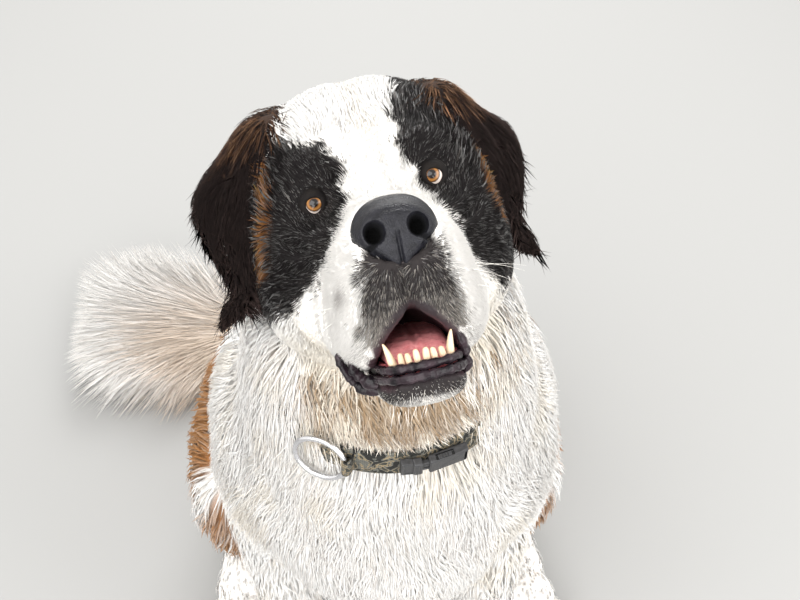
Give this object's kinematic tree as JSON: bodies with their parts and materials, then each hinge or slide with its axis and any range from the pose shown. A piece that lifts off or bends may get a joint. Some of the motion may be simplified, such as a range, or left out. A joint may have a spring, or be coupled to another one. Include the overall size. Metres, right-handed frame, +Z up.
{
  "type": "sitting saint bernard dog model",
  "caption": "Life-size still model of a sitting long-haired Saint Bernard, looking up with its mouth slightly open, wearing a collar with a buckle and a ring.",
  "frame": {"origin": "on the floor under the middle of the whole dog's box, tail included", "axes": "+Z up; the dog faces -Y and its left side is +X; the tail lies towards -X and +Y"},
  "size_m": [0.754, 1.1272, 1.0749],
  "materials": {
    "head_coat": "short dense coat, white blaze and muzzle with black eye patches",
    "jaw": "dark moist lip with short white hair on the chin and ivory teeth",
    "tongue": "moist",
    "nose_leather": "pebbled, slightly moist",
    "eye": "clear and wet, amber brown iris",
    "black_coat": "soft brownish black coat",
    "white_coat": "long soft white coat",
    "brown_coat": "orange brown coat",
    "body_coat": "long coat, red brown back with a black mantle and white chest",
    "webbing": "woven webbing with a mottled black, grey and tan pattern",
    "buckle_plastic": "moulded matt black",
    "ring_metal": "polished"
  },
  "bodies": {
    "root": {"head": "head_coat", "lower_jaw": "jaw", "tongue": "tongue", "nose": "nose_leather", "eye_left": "eye", "eye_right": "eye", "ear_left": "black_coat", "ear_right": "black_coat", "neck": "white_coat", "torso": "body_coat", "front_leg_left": "white_coat", "front_leg_right": "white_coat", "front_paw_left": "white_coat", "front_paw_right": "white_coat", "hind_leg_left": "brown_coat", "hind_leg_right": "brown_coat", "hind_foot_left": "white_coat", "hind_foot_right": "white_coat", "tail_base": "brown_coat", "tail_plume": "white_coat", "collar_strap": "webbing", "collar_buckle": "buckle_plastic", "collar_ring": "ring_metal"}
  },
  "joints": []
}
